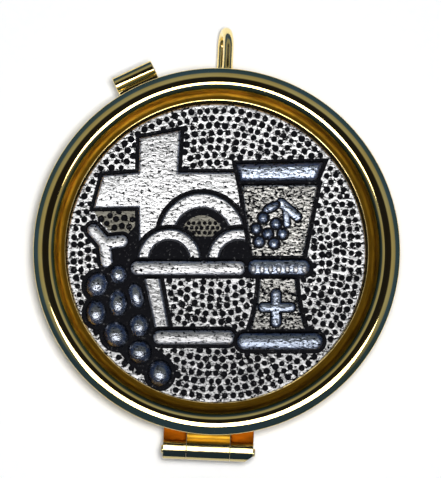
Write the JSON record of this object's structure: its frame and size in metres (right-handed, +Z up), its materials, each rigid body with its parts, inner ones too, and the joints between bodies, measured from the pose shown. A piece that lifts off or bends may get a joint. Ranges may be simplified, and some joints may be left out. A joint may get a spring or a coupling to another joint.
{
  "type": "pyx",
  "caption": "Round hinged pyx: shallow gilt box with a domed rim, a relief medallion set in its lid, a snap catch and a wire bail loop, for carrying hosts.",
  "frame": {"origin": "centre of the flat underside of the base, on the case's axis", "axes": "+Z up through the lid, -Y towards the hinge, +Y towards the bail loop"},
  "size_m": [0.054, 0.0639, 0.0155],
  "materials": {
    "gilt_brass": "gold-plated brass, polished",
    "pewter": "cast pewter, antiqued dark in the hollows and bright on the high spots"
  },
  "bodies": {
    "base": {"base_cup": "gilt_brass", "base_collar": "gilt_brass", "bail_loop": "gilt_brass", "catch_keeper": "gilt_brass", "hinge_knuckle_left": "gilt_brass", "hinge_knuckle_right": "gilt_brass", "hinge_pin": "gilt_brass"},
    "lid": {"lid_shell": "gilt_brass", "medallion": "pewter", "hinge_knuckle_middle": "gilt_brass", "catch_tab": "gilt_brass", "catch_tongue": "gilt_brass"}
  },
  "joints": [
    {"name": "lid_hinge", "type": "hinge", "parent": "base", "child": "lid", "pos_m": [0, -0.02945, 0.0105], "axis": [1, 0, 0], "range_deg": [0, 180]}
  ]
}
